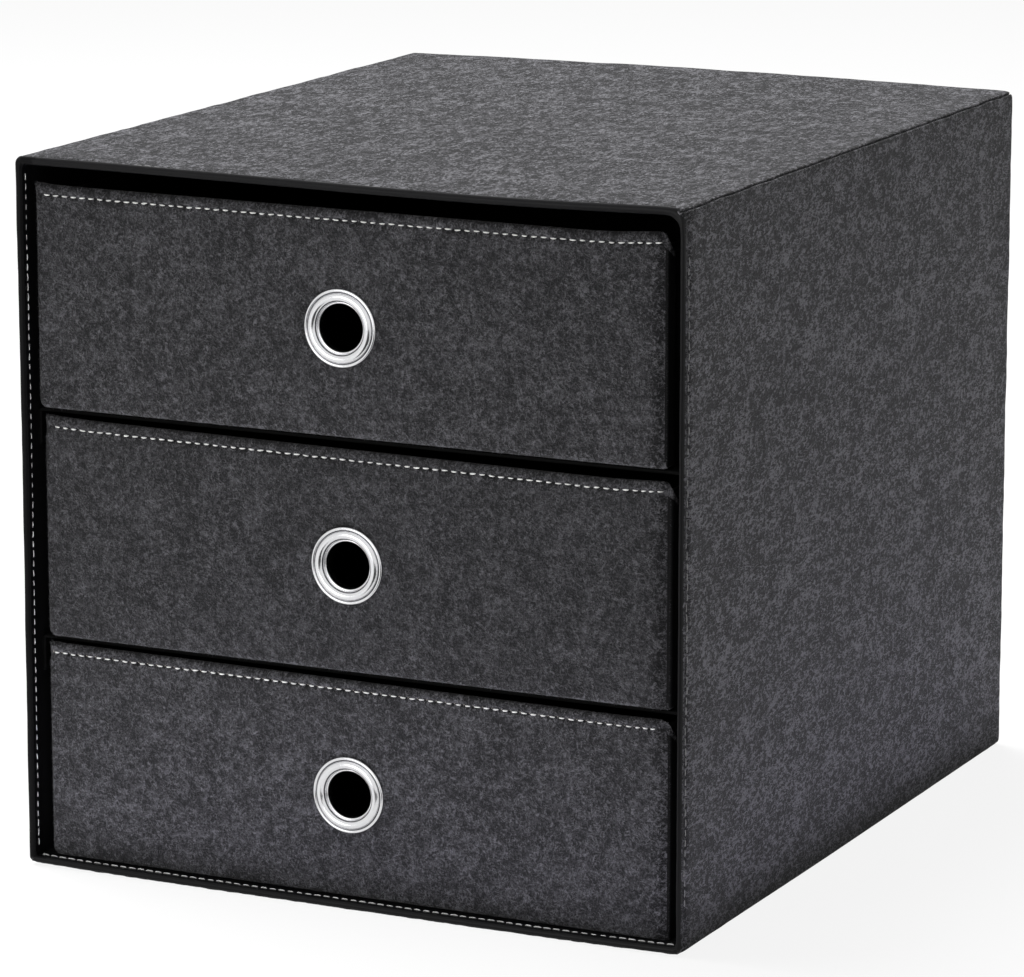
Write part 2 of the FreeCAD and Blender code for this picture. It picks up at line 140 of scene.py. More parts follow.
def normals_of(points, faces):
    """The way out of the surface at each point."""
    first, second, third, fourth = (points[faces[:, corner]] for corner in range(4))
    across = np.cross(third - first, fourth - second)
    total = np.zeros_like(points)
    for corner in range(4):
        for axis in range(3):
            total[:, axis] += np.bincount(faces[:, corner], across[:, axis], len(points))
    return total / np.maximum(np.linalg.norm(total, axis=1, keepdims=True), 1e-12)


def thickened(surface, depth):
    """A closed shell: the surface, its copy further in, and walls along its open edges."""
    points, faces = surface
    inside = points - depth * normals_of(points, faces)
    edges = np.concatenate([faces[:, [i, (i + 1) % 4]] for i in range(4)])
    edges = edges[edges[:, 0] != edges[:, 1]]
    keys = np.sort(edges, axis=1)
    keys = keys[:, 0] * len(points) + keys[:, 1]
    _, index, counts = np.unique(keys, return_inverse=True, return_counts=True)
    rim = edges[counts[index.reshape(-1)] == 1]
    walls = np.stack([rim[:, 1], rim[:, 0], rim[:, 0] + len(points), rim[:, 1] + len(points)], -1)
    return np.concatenate([points, inside]), np.concatenate([faces, faces[:, ::-1] + len(points), walls])


def piece(name, surface, material, body, slot, *stands_for):
    """Makes a smooth-shaded object of a surface, riding on a body."""
    points, faces = surface
    corners = [list(dict.fromkeys(face)) for face in faces.tolist()]
    mesh = bpy.data.meshes.new(name)
    mesh.from_pydata((points * MM).tolist(), [], corners)
    mesh.polygons.foreach_set("use_smooth", [True] * len(mesh.polygons))
    mesh.materials.append(material)
    made = bpy.data.objects.new(name, mesh)
    bpy.context.collection.objects.link(made)
    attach(made, body)
    if stands_for:
        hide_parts(*stands_for)
    return made


def recolour(made, material, chosen):
    """Gives the chosen faces of a piece another material."""
    made.data.materials.append(material)
    numbers = np.zeros(len(chosen), np.int32)
    made.data.polygons.foreach_get("material_index", numbers)
    numbers[chosen] = len(made.data.materials) - 1
    made.data.polygons.foreach_set("material_index", numbers)


# The sides of a box: the axis that each one faces along, and which end of that axis it is.
SIDES = {
    "left": (0, 0), "right": (0, -1),
    "front": (1, 0), "back": (1, -1),
    "bottom": (2, 0), "top": (2, -1),
}


def box_surface(places, sides):
    """Grids over the named sides of a box, joined along its edges, facing out."""
    surfaces = []
    for side in sides:
        axis, end = SIDES[side]
        rows, columns = [other for other in range(3) if other != axis]
        first, second = np.meshgrid(places[rows], places[columns], indexing="ij")
        points = np.empty((first.size, 3))
        points[:, axis] = places[axis][end]
        points[:, rows] = first.ravel()
        points[:, columns] = second.ravel()
        faces = grid_faces(*first.shape)
        if side in ("right", "front", "top"):
            faces = faces[:, ::-1]
        surfaces.append((points, faces))
    return welded(*grouped(*surfaces))


def softened(points, low, high, radius):
    """Points of a box's surface moved onto the same box with rounded edges, and the way out there."""
    core = np.clip(points, np.array(low) + radius, np.array(high) - radius)
    away = points - core
    away /= np.maximum(np.linalg.norm(away, axis=1, keepdims=True), 1e-9)
    return core + radius * away, away


def soft_slab(low, high, step, radius, form=lambda points: points):
    """A closed box with rounded edges, divided finely enough to bend."""
    places = []
    for start, end in zip(low, high):
        edge = min(radius, (end - start) / 3)
        places.append(spaced((start, edge / 2), (start + edge, step), (end - edge, edge / 2), end))
    points, faces = box_surface(places, SIDES)
    return form(softened(points, low, high, radius)[0]), faces


def fade(value, start, end):
    """Goes smoothly from 1 at start to 0 at end."""
    share = np.clip((value - start) / (end - start), 0, 1)
    return 1 - share * share * (3 - 2 * share)


def bell(value, width):
    """1 at zero, falling off smoothly on both sides within about that width."""
    return np.exp(-(value / width) ** 2)


def ripple(points, length, seed):
    """Smooth uneven waves of about that length, mostly between -1 and 1."""
    draw = np.random.default_rng(seed)
    total = np.zeros(len(points))
    for _ in range(6):
        way = draw.normal(size=3)
        way *= 2 * math.pi * draw.uniform(0.7, 1.4) / (length * np.linalg.norm(way))
        total += np.sin(points @ way + draw.uniform(0, 2 * math.pi))
    return total / 3


# How the stiff but hand-made cabinet is a little out of true, and how far each bend reaches.
LEFT_BOW = 0.3
FRONT_SAG = 1.5
BACK_RISE = 1.2
FOOT_RISE = 0.8
BEND_REACH = 150
CORNER_TUCK = 0.7
TUCK_WIDTH = 7
TUCK_REACH = 30


def settled(points):
    """Bends everything in the cabinet's walls together."""
    x, y, z = points.T
    front = fade(y, FRONT, FRONT + BEND_REACH)
    back = fade(y, BACK, BACK - BEND_REACH)
    height = np.clip(z / TOP, 0, 1)
    along = np.clip((x + HALF) / (2 * HALF), 0, 1)
    moved = points.copy()
    moved[:, 0] += LEFT_BOW * np.clip(-x / HALF, 0, 1) ** 2 * np.sin(math.pi * height ** 1.4) ** 2
    moved[:, 2] -= FRONT_SAG * np.sin(math.pi * along ** 1.8) * height ** 6 * front
    moved[:, 2] += BACK_RISE * (1 - (x / HALF) ** 2) * height ** 6 * back
    moved[:, 2] += FOOT_RISE * (x / HALF) ** 4 * (1 - height) ** 6 * front
    corner = bell(np.hypot(x - HALF, z - TOP), TUCK_WIDTH) * fade(y, FRONT, FRONT + TUCK_REACH)
    moved[:, 0] -= CORNER_TUCK * corner
    moved[:, 2] -= CORNER_TUCK * corner
    return moved


# Materials

def new_material(name):
    """A material with its node tree and its shader."""
    material = bpy.data.materials.new(name)
    material.use_nodes = True
    return material, material.node_tree, material.node_tree.nodes["Principled BSDF"]


def put(tree, socket, value):
    """Sets a socket to a value, or links it to another node's output."""
    if isinstance(value, bpy.types.NodeSocket):
        tree.links.new(value, socket)
    else:
        socket.default_value = value


def put_all(tree, node, values):
    """Puts values or outputs into a node's inputs by their names."""
    for name, value in values.items():
        put(tree, node.inputs[name], value)


def maths(tree, operation, first, second=0.0, clamp=False):
    """The output of a node that works with two numbers or outputs."""
    node = tree.nodes.new("ShaderNodeMath")
    node.operation = operation
    node.use_clamp = clamp
    put(tree, node.inputs[0], first)
    put(tree, node.inputs[1], second)
    return node.outputs[0]


def noise(tree, size, detail=2.0, roughness=0.5, distortion=0.0, stretch=(1, 1, 1), turn=(0, 0, 0)):
    """Noise whose features are about size millimetres across, drawn out along stretched axes."""
    place = tree.nodes.new("ShaderNodeTexCoord")
    mapping = tree.nodes.new("ShaderNodeMapping")
    scale = [1 / (size * MM * share) for share in stretch]
    put_all(tree, mapping, {"Vector": place.outputs["Object"], "Rotation": turn, "Scale": scale})
    texture = tree.nodes.new("ShaderNodeTexNoise")
    put_all(tree, texture, {"Vector": mapping.outputs["Vector"], "Scale": 1.0, "Detail": detail,
                            "Roughness": roughness, "Distortion": distortion})
    return texture.outputs["Fac"]


def strands(tree, size, sharpness, **kind):
    """Thin curved lines where a noise passes its middle value, like fibres lying across each other."""
    level = maths(tree, "SUBTRACT", noise(tree, size, **kind), 0.5)
    distance = maths(tree, "MULTIPLY", maths(tree, "ABSOLUTE", level), sharpness)
    return maths(tree, "SUBTRACT", 1.0, distance, clamp=True)


def weighted(tree, start, *terms):
    """start plus each output times its weight."""
    total = start
    for output, weight in terms:
        total = maths(tree, "ADD", total, maths(tree, "MULTIPLY", output, weight))
    return total


def blended(tree, share, dark, light):
    """A colour between dark and light."""
    mix = tree.nodes.new("ShaderNodeMix")
    mix.data_type = "RGBA"
    put_all(tree, mix, {"Factor": share, "A": (*dark, 1), "B": (*light, 1)})
    return mix.outputs["Result"]


def bumped(tree, shader, height, strength, distance):
    """Gives a shader's surface fine relief, distance in millimetres high."""
    bump = tree.nodes.new("ShaderNodeBump")
    put_all(tree, bump, {"Height": height, "Strength": strength, "Distance": distance * MM})
    put(tree, shader.inputs["Normal"], bump.outputs["Normal"])


# The felt: the share of light fibres, the contrast on the drawers' fronts, and the painted shade of relief
# that the top and sides add.
FELT_MEAN = 0.36
FRONT_CONTRAST = 1.45
TOP_PAINTED_RELIEF_SHADE = 1.95
SIDE_PAINTED_RELIEF_SHADE = 2.6
FELT_DARK = (0.0042, 0.0042, 0.0047)
FELT_LIGHT = (0.118, 0.1167, 0.1263)
# The layers of fibres that lie on it: how far each one's fibres curl, in millimetres, and its weight.
FIBRE_LAYERS = ((2.6, 0.45), (2.0, 0.4), (1.7, 0.4), (2.9, 0.45), (2.3, 0.4))


def contrast_with_painted_relief_shade(tree, share):
    """More contrast on the top and the sides: painted light and shade standing in for the felt's relief seen
    at a grazing angle.
    """
    place = tree.nodes.new("ShaderNodeTexCoord")
    parts = tree.nodes.new("ShaderNodeSeparateXYZ")
    put(tree, parts.inputs["Vector"], place.outputs["Normal"])
    upward = maths(tree, "ABSOLUTE", parts.outputs["Z"])
    sideways = maths(tree, "ABSOLUTE", parts.outputs["X"])
    # The top and the sides get painted relief shade as extra contrast.
    gain = weighted(tree, FRONT_CONTRAST, (upward, TOP_PAINTED_RELIEF_SHADE), (sideways, SIDE_PAINTED_RELIEF_SHADE))
    spread = maths(tree, "MULTIPLY", maths(tree, "SUBTRACT", share, FELT_MEAN), gain)
    level = maths(tree, "MAXIMUM", maths(tree, "ADD", spread, FELT_MEAN), 0.0)
    return weighted(tree, 0.06, (maths(tree, "POWER", level, 1.3), 0.82))


def felt_material(name, tone=1.0):
    """Charcoal marl felt: light and black fibres pressed together, each seen for a few millimetres."""
    material, tree, shader = new_material(name)
    long_way = (1, 2.2, 1)
    share = weighted(tree, -1.22,
                     (noise(tree, 0.7, roughness=0.7, stretch=long_way), 0.95),
                     (noise(tree, 1.4, roughness=0.6, distortion=0.5, stretch=long_way), 0.85),
                     (noise(tree, 4.0, roughness=0.6, stretch=long_way), 0.75),
                     (noise(tree, 14.0, roughness=0.6), 0.4))
    for number, (size, weight) in enumerate(FIBRE_LAYERS):
        turn = (1.3 * number, 0.9 * number + 0.4, 2.1 * number)
        line = strands(tree, size, 30.0, detail=1.0, distortion=0.9, stretch=long_way, turn=turn)
        patch = maths(tree, "SUBTRACT", noise(tree, 2.4, detail=0.0, turn=turn[::-1]), 0.47)
        shown = maths(tree, "MULTIPLY", patch, 7.0, clamp=True)
        share = weighted(tree, share, (maths(tree, "MULTIPLY", line, shown), weight))
    light = tuple(tone * value for value in FELT_LIGHT)
    put_all(tree, shader, {"Base Color": blended(tree, contrast_with_painted_relief_shade(tree, share), FELT_DARK, light),
                           "Roughness": 0.95, "Specular IOR Level": 0.15,
                           "Sheen Weight": 0.08, "Sheen Roughness": 0.6})
    bumped(tree, shader, share, 0.8, 0.7)
    return material


def cloth_material(name, dark, light, shine, roughness):
    """Thin woven cloth: fine threads crossing, a few slightly lighter."""
    material, tree, shader = new_material(name)
    ways = ((1, 8, 1), (8, 1, 1), (1, 1, 8))
    threads = [noise(tree, 0.35, detail=1.0, stretch=way) for way in ways]
    wear = noise(tree, 14.0, detail=3.0)
    share = weighted(tree, -0.3, *zip(threads, (0.45, 0.45, 0.35)), (wear, 0.4))
    put_all(tree, shader, {"Base Color": blended(tree, share, dark, light),
                           "Roughness": roughness, "Specular IOR Level": shine,
                           "Sheen Weight": 0.01, "Sheen Roughness": 0.4})
    bumped(tree, shader, weighted(tree, 0.0, *((thread, 1.0) for thread in threads)), 0.35, 0.08)
    return material


def board_material(name, dark, light, roughness, shine):
    """Pressed paperboard: pulp flecks and faint cloudy patches."""
    material, tree, shader = new_material(name)
    flecks = noise(tree, 0.6, detail=4.0, roughness=0.7)
    clouds = noise(tree, 12.0, detail=3.0)
    share = weighted(tree, -0.2, (flecks, 0.8), (clouds, 0.6))
    put_all(tree, shader, {"Base Color": blended(tree, share, dark, light),
                           "Roughness": roughness, "Specular IOR Level": shine})
    bumped(tree, shader, flecks, 0.3, 0.06)
    return material


def thread_material(name, dark, light):
    """Spun thread: painted light and shade along the ply, bright on it and darker in its creases."""
    material, tree, shader = new_material(name)
    ply = noise(tree, 0.18, stretch=(3, 3, 1))
    soil = noise(tree, 5.0)
    # The ply pattern darkens the colour in its creases: painted shade.
    share = weighted(tree, -0.1, (ply, 0.9), (soil, 0.5))
    put_all(tree, shader, {"Base Color": blended(tree, share, dark, light),
                           "Roughness": 0.7, "Sheen Weight": 0.2})
    bumped(tree, shader, ply, 0.4, 0.05)
    return material


def chrome_material():
    """Polished chrome plate with a faint haze of fingerprints and fine polishing waves."""
    material, tree, shader = new_material("chrome")
    smear = noise(tree, 6.0, detail=4.0, roughness=0.6)
    put_all(tree, shader, {"Base Color": blended(tree, smear, (0.64, 0.64, 0.65), (0.76, 0.76, 0.78)),
                           "Metallic": 1.0, "Roughness": weighted(tree, 0.15, (smear, 0.1))})
    bumped(tree, shader, noise(tree, 2.5, detail=1.0), 0.05, 0.01)
    return material


FELT_SKIN = felt_material("felt")
# The middle drawer's felt is a shade darker than the rest.
DARKER_FELT = felt_material("darker_felt", 0.84)
CLOTH_SKIN = cloth_material("black_cloth", (0.002, 0.002, 0.0022), (0.006, 0.006, 0.0065), 0.12, 0.62)
# The hem is rubbed smooth, and its left side, which lies away from the light, gets a darker copy of its
# cloth: painted shade.
HEM_SKIN = cloth_material("hem_cloth", (0.002, 0.002, 0.0023), (0.006, 0.006, 0.0066), 0.12, 0.38)
PAINTED_SHADE_HEM_SKIN = cloth_material("left_hem_painted_shade", (0.001, 0.001, 0.0011), (0.004, 0.004, 0.0044), 0.07, 0.4)
GREY_BOARD = board_material("grey_board", (0.24, 0.22, 0.2), (0.38, 0.35, 0.32), 0.85, 0.3)
BLACK_BOARD = board_material("black_board", (0.002, 0.002, 0.002), (0.005, 0.005, 0.005), 0.75, 0.05)
WHITE_THREAD = thread_material("white_thread", (0.45, 0.45, 0.44), (0.88, 0.88, 0.86))
# The outer stitches are the same white thread made grey: painted shade where they lie sunk in the felt.
PAINTED_SHADE_THREAD = thread_material("thread_painted_shade", (0.08, 0.08, 0.08), (0.24, 0.24, 0.24))
CHROME = chrome_material()


# Cabinet

FELT_RADIUS = 3.0
# The strip along each edge that is divided finely.
EDGE = 4.0
SEAM_WIDTH = 0.4
SEAM_DEPTH = 0.7
# The swollen felt beside a seam: how far from it, how wide and how high.
SWELL_AT = 1.3
SWELL_WIDTH = 0.7
SWELL = 0.12
# Farther off than any seam's groove reaches.
OUT_OF_REACH = 50
# On the right, how far further forward the felt comes, and how far it is rolled in at its front.
RIGHT_LEAD = 0.4
RIGHT_ROLL_IN = 0.95


def cabinet_felt():
    """The felt skin: one shell, grooved where its panels meet and where the rim is sewn."""
    edge = spaced((0, 0.15), (1.2, 0.5), EDGE)
    xs = merged(-HALF + edge, spaced((EDGE - HALF, 1.3), HALF - EDGE), HALF - edge)
    zs = merged(edge, spaced((EDGE, 1.3), TOP - EDGE), TOP - edge)
    forward = spaced((FELT_FRONT, 0.3), (FELT_FRONT + EDGE, 1.0), (FELT_FRONT + 12, 5.0), BACK - EDGE)
    ys = merged(forward, BACK - edge)
    flat, faces = box_surface((xs, ys, zs), ("left", "right", "bottom", "top", "back"))
    open_low = (-HALF, FELT_FRONT - 2 * FELT_RADIUS, 0)
    points, out = softened(flat, open_low, (HALF, BACK, TOP), FELT_RADIUS)
    x, y, z = flat.T
    aside = HALF - np.abs(x)
    above = np.minimum(z, TOP - z)
    from_edge = np.minimum(aside, above)
    wander = 0.3 * ripple(flat, 22, 3)
    long_seam = aside - above + wander + OUT_OF_REACH * (1 - fade(from_edge, EDGE / 2, EDGE))
    back_seam = BACK - y - from_edge + wander
    groove = SEAM_DEPTH * (bell(long_seam, SEAM_WIDTH) + bell(back_seam, SEAM_WIDTH))
    swell = SWELL * sum(bell(np.abs(seam) - SWELL_AT, SWELL_WIDTH) for seam in (long_seam, back_seam))
    around = np.where(above > aside, z, x)
    sewn = bell(y - SEAM_Y, 0.55) * (0.34 + 0.1 * np.cos(2 * math.pi * around / STITCH_PITCH))
    height = swell - groove - sewn + 0.12 * ripple(flat, 30, 5) + 0.05 * ripple(flat, 9, 6)
    foot = fade(z, 0, 1)
    points += out * (height * (1 - foot) - foot * np.maximum(groove, 0))[:, None]
    ragged = 0.22 * ripple(flat, 5, 8) + 0.18 * ripple(flat, 2.8, 9)
    corner = bell(np.hypot(x - HALF, z - TOP), 6)
    on_right = fade(aside, 0.5, 3.0) * (x > 0)
    points[:, 1] += fade(y, FELT_FRONT, FELT_FRONT + 2) * (ragged - 0.3 * corner - RIGHT_LEAD * on_right)
    points[:, 0] -= RIGHT_ROLL_IN * on_right * fade(y, FELT_FRONT - 0.5, FELT_FRONT + EDGE)
    surface = thickened((settled(points), faces), FELT)
    piece("felt_cover", surface, FELT_SKIN, "cabinet", "felt", *FELT_NODES)


# How far the padded hem swells out past its flat width.
HEM_SWELL = 0.7
# How far the hem keeps from the outside on the right, where the felt covers more of the edge.
RIGHT_HEM_INSET = 0.9
# The hem's corner radii, from the lower left round by the right: outside, inside, and deep in the opening.
OUTER_RADII = np.array([2.0, 2.6, 4.2, 2.8])
INNER_RADII = np.array([0.8, 1.5, 5.2, 1.6])
DEEP_RADII = np.array([2.5, 2.5, 3.0, 2.5])
# How deeply the hem is creased at those corners.
CREASES = (0.5, 0.35, 0.1, 0.3)
# How far in the hem's shinier skin reaches, and how far from the left wall its part with painted shade.
HEM_REACH = 7
LEFT_HEM_SHADE_REACH = 8
# The points along each side and round each corner of a loop.
SIDE_POINTS = 140
CORNER_POINTS = 9


def rounded_loop(low, high, radii, side_points=(SIDE_POINTS,) * 4):
    """A rounded rectangle, anticlockwise from the lower left corner along the bottom side."""
    corners = np.array([(low[0], low[1]), (high[0], low[1]), (high[0], high[1]), (low[0], high[1])])
    loop = []
    for side in range(4):
        start, end = corners[side], corners[(side + 1) % 4]
        way = (end - start) / np.linalg.norm(end - start)
        inward = np.array([-way[1], way[0]])
        first = start + way * radii[side]
        last = end - way * radii[(side + 1) % 4]
        share = np.linspace(0, 1, side_points[side], endpoint=False)[:, None]
        loop.append(first + share * (last - first))
        radius = radii[(side + 1) % 4]
        turn = np.linspace(0, math.pi / 2, CORNER_POINTS, endpoint=False)[:, None]
        loop.append(last + radius * (inward * (1 - np.cos(turn)) + way * np.sin(turn)))
    return np.concatenate(loop)


def corner_columns(side_points=(SIDE_POINTS,) * 4):
    """The column of a loop in the middle of each corner, from the lower left round by the right."""
    ends = np.cumsum(np.array(side_points) + CORNER_POINTS)
    return np.roll(ends - CORNER_POINTS // 2 - 1, 1)


def cabinet_lining():
    """The black cloth: from under the felt, round the front edge as a padded hem, and all over inside."""
    outer = HEM_INSET - HEM_SWELL
    roll = (WALL - outer) / 2
    depths = spaced((FRONT + roll + 0.4, 0.5), (FRONT + 8, 2.0), (FRONT + 30, 8.0), INNER_BACK)
    stations = [(FELT_FRONT + 0.9, HEM_INSET + 0.3), (FELT_FRONT + 0.3, HEM_INSET + 0.1)]
    stations += [(FRONT + roll * (1 - math.sin(turn)), outer + roll * (1 - math.cos(turn)))
                 for turn in np.linspace(0, math.pi, 13)]
    stations += [(y, WALL) for y in depths]
    loops = []
    for y, inset in stations:
        share = np.clip((inset - HEM_INSET) / (WALL - HEM_INSET), 0, 1)
        radii = OUTER_RADII + share * (INNER_RADII - OUTER_RADII)
        radii = DEEP_RADII + (radii - DEEP_RADII) * fade(y, FRONT + 4, FRONT + 60)
        right = WALL - (WALL - inset) * (WALL - RIGHT_HEM_INSET) / (WALL - outer) if y < SEAM_Y else inset
        ring = rounded_loop((-HALF + inset, inset), (HALF - right, TOP - inset), radii)
        loops.append(np.stack([ring[:, 0], np.full(len(ring), y), ring[:, 1]], -1))
    middle = np.array([0, INNER_BACK, TOP / 2])
    for share in (0.9, 0.6, 0.3, 0.0):
        loops.append(middle + (loops[len(stations) - 1] - middle) * share)
    columns = len(loops[0])
    points = np.concatenate(loops)
    faces = grid_faces(len(loops), columns, wrap=True)
    x, y, z = points.T
    column = np.tile(np.arange(columns), len(loops))
    crease = sum(depth * bell(column - at, 1.1) for at, depth in zip(corner_columns(), CREASES))
    hem = fade(y, FRONT + 1, FRONT + 2)
    points[:, 1] += hem * (crease + 0.1 * ripple(points, 28, 21) + 0.05 * ripple(points, 9, 22))
    inside = fade(np.abs(y - SEAM_Y), 0.2, 2.5)
    out = normals_of(points, faces)
    points += out * (0.1 * ripple(points, 40, 23) * (1 - hem) - 0.14 * inside)[:, None]
    points[:, 2] = np.maximum(points[:, 2], HEM_INSET)
    surface = thickened((settled(points), faces), CLOTH)
    made = piece("cabinet_cloth", surface, CLOTH_SKIN, "cabinet", "cloth", "cabinet_lining")
    x, y, z = middles(*surface).T
    at_rim = y < FRONT + HEM_REACH
    recolour(made, HEM_SKIN, at_rim)
    # The left part of the hem gets the darker cloth: painted shade.
    recolour(made, PAINTED_SHADE_HEM_SKIN, at_rim & (x < LEFT_HEM_SHADE_REACH - HALF) & (z > WALL))


# How deep under the felt the boards keep, so that none shows in the sunk seams, and how rounded they are.
BOARD_COVER = 1.6
BOARD_RADIUS = 0.6


def cabinet_boards():
    """The boards inside the walls, bent with them."""
    inside = np.array([HALF, BACK, TOP]) - BOARD_COVER
    for side in ("top", "right", "bottom", "left", "back"):
        low, high = limits(f"{side}_board")
        low = np.maximum(low, [-inside[0], low[1] + BOARD_RADIUS, BOARD_COVER])
        slab = soft_slab(low, np.minimum(high, inside), 12.0, BOARD_RADIUS, settled)
        piece(f"{side}_wall_board", slab, GREY_BOARD, "cabinet", "board", f"{side}_board")


def cabinet_shelves():
    """The folded black shelves, whose flaps hang down along the walls."""
    bend = 1.5
    for level in ("lower", "upper"):
        low, high = limits(f"{level}_shelf")
        drop = [(low[0], z) for z in spaced((low[2], 3.0), high[2] - bend)[:-1]]
        left = drop + [(low[0] + aside, high[2] - under) for aside, under in quarter(bend)]
        middle = [(x, high[2]) for x in spaced((low[0] + bend, 5.0), high[0] - bend)[1:-1]]
        path = np.array(left + middle + [(-x, z) for x, z in reversed(left)])
        rows = spaced((low[1], 0.6), (low[1] + 3, 6.0), high[1])
        points = np.array([(x, y, z) for y in rows for x, z in path])
        points[:, 2] -= 0.25 * fade(points[:, 1], low[1], low[1] + 1.2)
        surface = thickened((settled(points), grid_faces(len(rows), len(path))), SHELF)
        piece(f"{level}_folded_shelf", surface, BLACK_BOARD, "cabinet", "black_board", f"{level}_shelf")


# Thread

# How deep a stitch's two ends dive.
STITCH_DIVE = 0.12


def stitch_shape(length, width, rise):
    """One stitch along X: a twisted pair of strands that comes up out of the cloth and dives again."""
    rings, sides = 9, 10
    angle = np.linspace(0, 2 * math.pi, sides, endpoint=False)
    points = []
    for share in np.linspace(-1, 1, rings):
        swell = width / 2 * max(0.25, (1 - abs(share) ** 5) ** 0.5)
        radius = swell * (1 - 0.2 * np.abs(np.sin(angle - 2.4 * share)) ** 3)
        height = rise * (1 - share ** 2) - STITCH_DIVE
        points.append(np.stack([np.full(sides, share * length / 2), radius * np.cos(angle),
                                height + radius * np.sin(angle)], -1))
    points.append([(-length / 2, 0, -STITCH_DIVE), (length / 2, 0, -STITCH_DIVE)])
    points = np.concatenate(points)
    ring = np.arange(sides)
    following = (ring + 1) % sides
    last = (rings - 1) * sides
    start, finish = np.full((2, sides), [[len(points) - 2], [len(points) - 1]])
    caps = [np.stack([start, following, ring, ring], -1),
            np.stack([finish, last + ring, last + following, last + following], -1)]
    return points, np.concatenate([grid_faces(rings, sides, wrap=True)[:, ::-1]] + caps)


def stitches(places, way, out, length, width, rise, seed, sunk):
    """Stitches at places, along a way, standing out of a surface or sunk in it, each a little different."""
    draw = np.random.default_rng(seed)
    way, out = np.array(way, float), np.array(out, float)
    side = np.cross(out, way)
    runs = []
    for place, depth in zip(places, sunk):
        shape, faces = stitch_shape(length * draw.uniform(0.86, 1.08), width * draw.uniform(0.88, 1.1),
                                    rise * draw.uniform(0.8, 1.15))
        lean = draw.normal(0, 0.05)
        cos, sin = math.cos(lean), math.sin(lean)
        shape = shape @ np.array([[cos, sin, 0], [-sin, cos, 0], [0, 0, 1]])
        shape[:, 1] += draw.normal(0, 0.05)
        along, across, above = shape.T[:, :, None]
        runs.append((place + along * way + across * side + (above - depth) * out, faces))
    return grouped(*runs)


# The seam round the rim, side by side: the way along, the way into the opening, where the wall is,
# how wide the stitches inside are, and how deep they and the outer ones lie.
RIM_SEAMS = (
    ((1, 0, 0), (0, 0, 1), FLOOR, 0.56, 0.05, 0.3),
    ((1, 0, 0), (0, 0, -1), CEILING, 0.5, 0.25, 0.5),
    ((0, 0, 1), (1, 0, 0), -INNER_HALF, 0.4, 0.18, 0.36),
    ((0, 0, 1), (-1, 0, 0), INNER_HALF, 0.5, 0.1, 0.5),
)
# How deep the outer stitches lie underneath at the least, clear of what the chest stands on.
FOOT_DEPTH = 0.5


def rim_threads():
    """The seam round the rim: inside on the cloth, and outside half buried in the felt."""
    inside, outside = [], []
    for number, (way, out, wall, width, inner_depth, outer_depth) in enumerate(RIM_SEAMS):
        level = way[0] == 1
        run_axis, wall_axis = (0, 2) if level else (2, 0)
        span = INNER_HALF if level else (CEILING - FLOOR) / 2
        count = int(2 * (span - 1.0) / STITCH_PITCH)
        steps = (np.arange(count) - (count - 1) / 2) * STITCH_PITCH
        place = np.zeros((count, 3))
        place[:, run_axis] = steps if level else steps + (FLOOR + CEILING) / 2
        place[:, 1] = SEAM_Y + 0.12 * ripple(np.stack([steps] * 3, -1), 30, 40 + number)
        place[:, wall_axis] = wall
        at_corner = fade(place[:, 0] + INNER_HALF, 2, 12) * (wall == CEILING)
        shown = inner_depth + 0.06 * ripple(place, 30, 45 + number) - 0.22 * at_corner
        inside.append(stitches(place, way, out, 2.8, width, 0.2, 50 + number, shown))
        felt_side = place[3:-3] - WALL * np.array(out)
        buried = outer_depth + 0.3 * ripple(felt_side, 14, 60 + number)
        buried = np.maximum(buried, FOOT_DEPTH if wall == FLOOR else 0.0)
        away = tuple(-value for value in out)
        outside.append(stitches(felt_side, way, away, 2.7, 0.42, 0.12, 70 + number, buried))
    # The outside stitches take the thread's copy with painted shade.
    for name, runs, material in (("inside", inside, WHITE_THREAD), ("outside", outside, PAINTED_SHADE_THREAD)):
        points, faces = grouped(*runs)
        surface = (settled(points), faces)
        piece(f"rim_stitches_{name}", surface, material, "cabinet", "thread", f"rim_thread_{name}")


# Loose fibres

def strewn(loop, count, draw):
    """Places strewn along a loop in a plane, and the way out of it at each."""
    pick = draw.integers(0, len(loop), count)
    along = loop[(pick + 1) % len(loop)] - loop[pick]
    places = loop[pick] + draw.uniform(0, 1, (count, 1)) * along
    along /= np.linalg.norm(along, axis=1, keepdims=True)
    return places, np.stack([along[:, 1], -along[:, 0]], -1)


def fibres(roots, outward, length, spread, seed, width=0.05):
    """Short bent hairs of three-sided section, growing from roots along outward, strewn by spread."""
    draw = np.random.default_rng(seed)
    count = len(roots)
    way = outward + draw.normal(0, spread, (count, 3))
    way /= np.linalg.norm(way, axis=1, keepdims=True)
    bend = draw.normal(0, 0.5, (count, 3))
    reach = length * draw.uniform(0.35, 1.3, (count, 1))
    side = np.cross(way, draw.normal(size=(count, 3)))
    side /= np.linalg.norm(side, axis=1, keepdims=True)
    other = np.cross(way, side)
    rings = []
    for share, radius in ((-0.2, width), (0.35, width), (0.7, width * 0.8), (1.0, width * 0.3)):
        middle = roots + reach * (share * way + bend * max(share, 0) ** 2 * 0.6)
        for angle in 2 * math.pi / 3 * np.arange(3):
            rings.append(middle + radius * (math.cos(angle) * side + math.sin(angle) * other))
    points = np.stack(rings, 1).reshape(-1, 3)
    hair = np.concatenate([grid_faces(4, 3, wrap=True)[:, ::-1], [(0, 1, 2, 2), (11, 10, 9, 9)]])
    return points, (hair[None] + 12 * np.arange(count)[:, None, None]).reshape(-1, 4)


